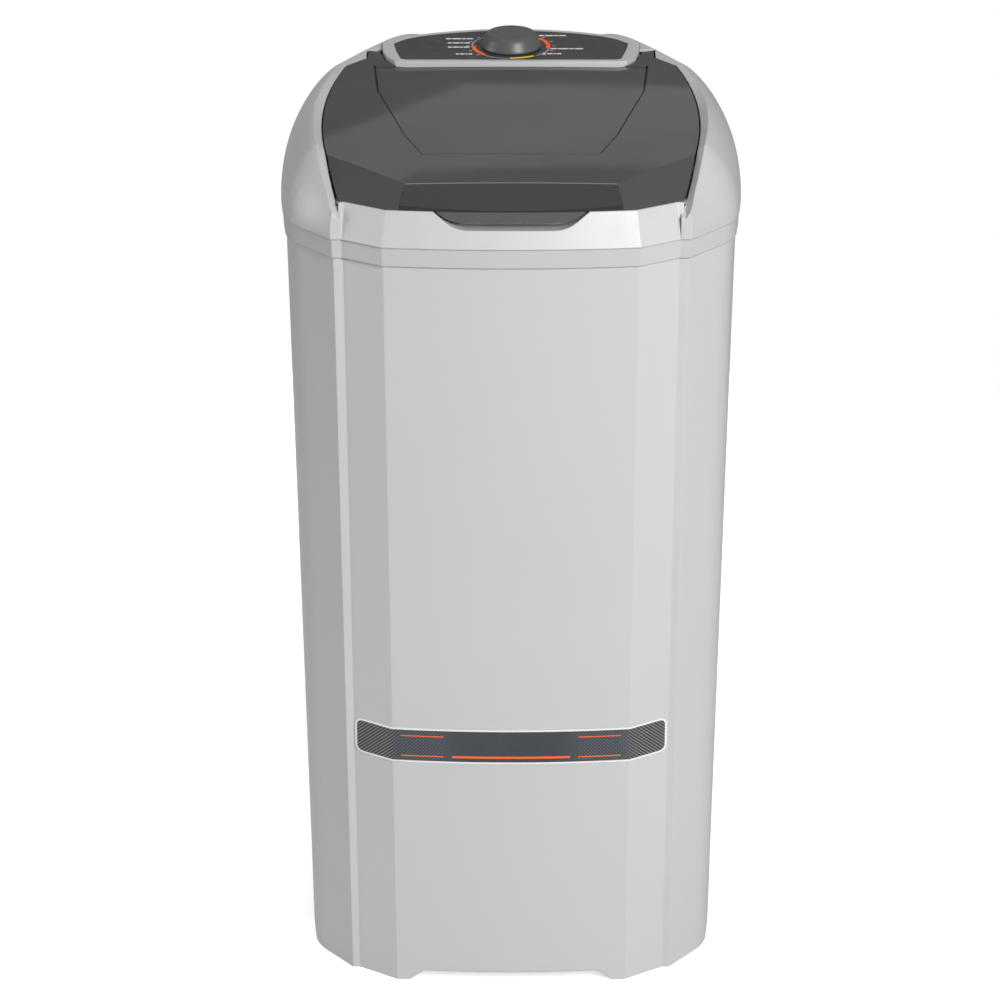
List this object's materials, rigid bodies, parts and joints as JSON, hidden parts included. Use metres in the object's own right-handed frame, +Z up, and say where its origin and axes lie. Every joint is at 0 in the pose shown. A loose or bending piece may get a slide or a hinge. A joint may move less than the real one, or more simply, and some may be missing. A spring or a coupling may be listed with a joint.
{
  "type": "semi-automatic washing machine",
  "caption": "Top-loading semi-automatic washing machine with a drafted grey plastic cabinet, silver lid frame, smoked hinged lid and a timer dial on a raised console.",
  "frame": {"origin": "centre of the footprint's bounding box, on the floor", "axes": "+Z up, -Y towards the front panel with the trim strip, +X to the right seen from the front"},
  "size_m": [0.5348, 0.5409, 1.0692],
  "materials": {
    "cabinet_grey": "satin moulded light grey",
    "tub_grey": "smooth moulded light grey",
    "frame_silver": "silver grey, semi gloss",
    "lid_smoke": "smoked, polished",
    "rim_grey": "satin moulded grey",
    "overlay_print": "dark printed film",
    "strip_print": "dark printed film with fine texture",
    "knob_dark": "satin dark grey",
    "white_plastic": "satin moulded white",
    "black_plastic": "satin moulded black",
    "pulsator_blue": "smooth moulded pale blue",
    "filter_mesh": "woven nylon mesh",
    "steel": "turned and plated",
    "cast_alloy": "die cast",
    "bronze": "sintered bush",
    "zinc_plate": "zinc plated sheet",
    "motor_paint": "dark enamel",
    "rubber": "matte black",
    "hose_grey": "matte grey"
  },
  "bodies": {
    "housing": {"cabinet": "cabinet_grey", "rear_cover": "cabinet_grey", "rear_cover_screws": "steel", "front_strip": "strip_print", "wash_tub": "tub_grey", "top_frame": "frame_silver", "frame_screws": "steel", "inner_rim": "rim_grey", "lid_hinge_pins": "steel", "lid_bumpers": "rubber", "control_console": "frame_silver", "panel_overlay": "overlay_print", "timer_body": "white_plastic", "timer_screws": "steel", "bearing_housing": "cast_alloy", "housing_bolts": "steel", "upper_bush": "bronze", "lower_bush": "bronze", "shaft_seal": "rubber", "drive_belt": "rubber", "motor_stator": "motor_paint", "motor_lower_shield": "cast_alloy", "motor_upper_shield": "cast_alloy", "motor_bearings": "steel", "motor_bracket": "zinc_plate", "bracket_grommets": "rubber", "bracket_bolts": "steel", "capacitor": "white_plastic", "capacitor_clip": "zinc_plate", "terminal_block": "white_plastic", "wiring_harness": "black_plastic", "harness_clips": "white_plastic", "drain_fitting": "black_plastic", "drain_strainer": "white_plastic", "drain_hose": "hose_grey", "hose_clamps": "steel", "drain_outlet": "black_plastic", "cord_gland": "black_plastic", "filter_holder": "white_plastic"},
    "lid_body": {"lid": "lid_smoke"},
    "knob_body": {"timer_knob": "knob_dark", "timer_shaft": "steel"},
    "agitator_body": {"agitator": "pulsator_blue", "agitator_screw": "steel", "agitator_cap": "pulsator_blue", "agitator_shaft": "steel", "driven_pulley": "black_plastic", "pulley_nut": "steel"},
    "rotor_body": {"motor_rotor": "steel", "motor_pulley": "cast_alloy"},
    "filter_body": {"lint_filter_frame": "pulsator_blue", "lint_filter_mesh": "filter_mesh"}
  },
  "joints": [
    {"name": "lid_swing", "type": "hinge", "parent": "housing", "child": "lid_body", "pos_m": [0, 0.15, 1.0388], "axis": [-1, 0, 0], "range_deg": [0, 100]},
    {"name": "knob_turn", "type": "hinge", "parent": "housing", "child": "knob_body", "pos_m": [0, 0.162, 1.04964], "axis": [0, -0.0523, 0.9986], "continuous": true},
    {"name": "agitator_spin", "type": "hinge", "parent": "housing", "child": "agitator_body", "pos_m": [0, 0, 0.3], "axis": [0, 0, 1], "continuous": true},
    {"name": "motor_spin", "type": "hinge", "parent": "housing", "child": "rotor_body", "pos_m": [0, 0.15, 0.25], "axis": [0, 0, 1], "continuous": true},
    {"name": "lint_filter_lift", "type": "slide", "parent": "housing", "child": "filter_body", "axis": [-0.0382, 0, 0.9993], "range_m": [0, 0.06]}
  ],
  "couplings": [
    {"joint": "motor_spin", "follows": "agitator_spin", "ratio": 3.7273}
  ]
}
